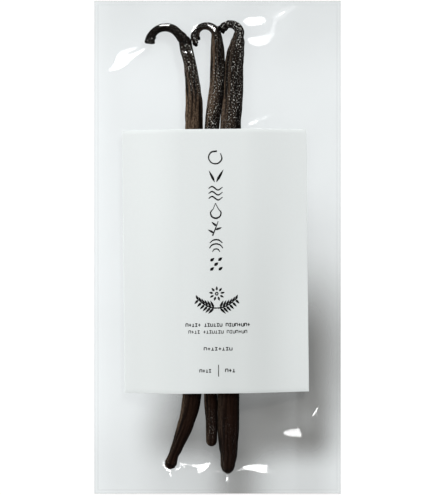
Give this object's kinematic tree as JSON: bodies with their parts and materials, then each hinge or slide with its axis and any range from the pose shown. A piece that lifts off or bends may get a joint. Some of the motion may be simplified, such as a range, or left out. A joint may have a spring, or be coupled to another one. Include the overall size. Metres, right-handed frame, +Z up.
{
  "type": "bagged vanilla pods",
  "caption": "Flat clear bag of dried vanilla pods with hooked stems, lying on its back, with a white paper label across the front.",
  "frame": {"origin": "middle of the bag's underside, on the surface it lies on", "axes": "+Z up out of the labelled front, +Y along the bag towards the hooked stems of the pods, +X across it, to the right when the front is seen with the stems up"},
  "size_m": [0.1, 0.2, 0.0078],
  "materials": {
    "film": "clear glossy packing film",
    "pod": "cured vanilla pod, nearly black brown, wrinkled lengthwise, with an oily sheen",
    "label_paper": "smooth uncoated white card"
  },
  "bodies": {
    "root": {"bag": "film", "pod_left": "pod", "pod_middle": "pod", "pod_right": "pod", "label": "label_paper"}
  },
  "joints": []
}
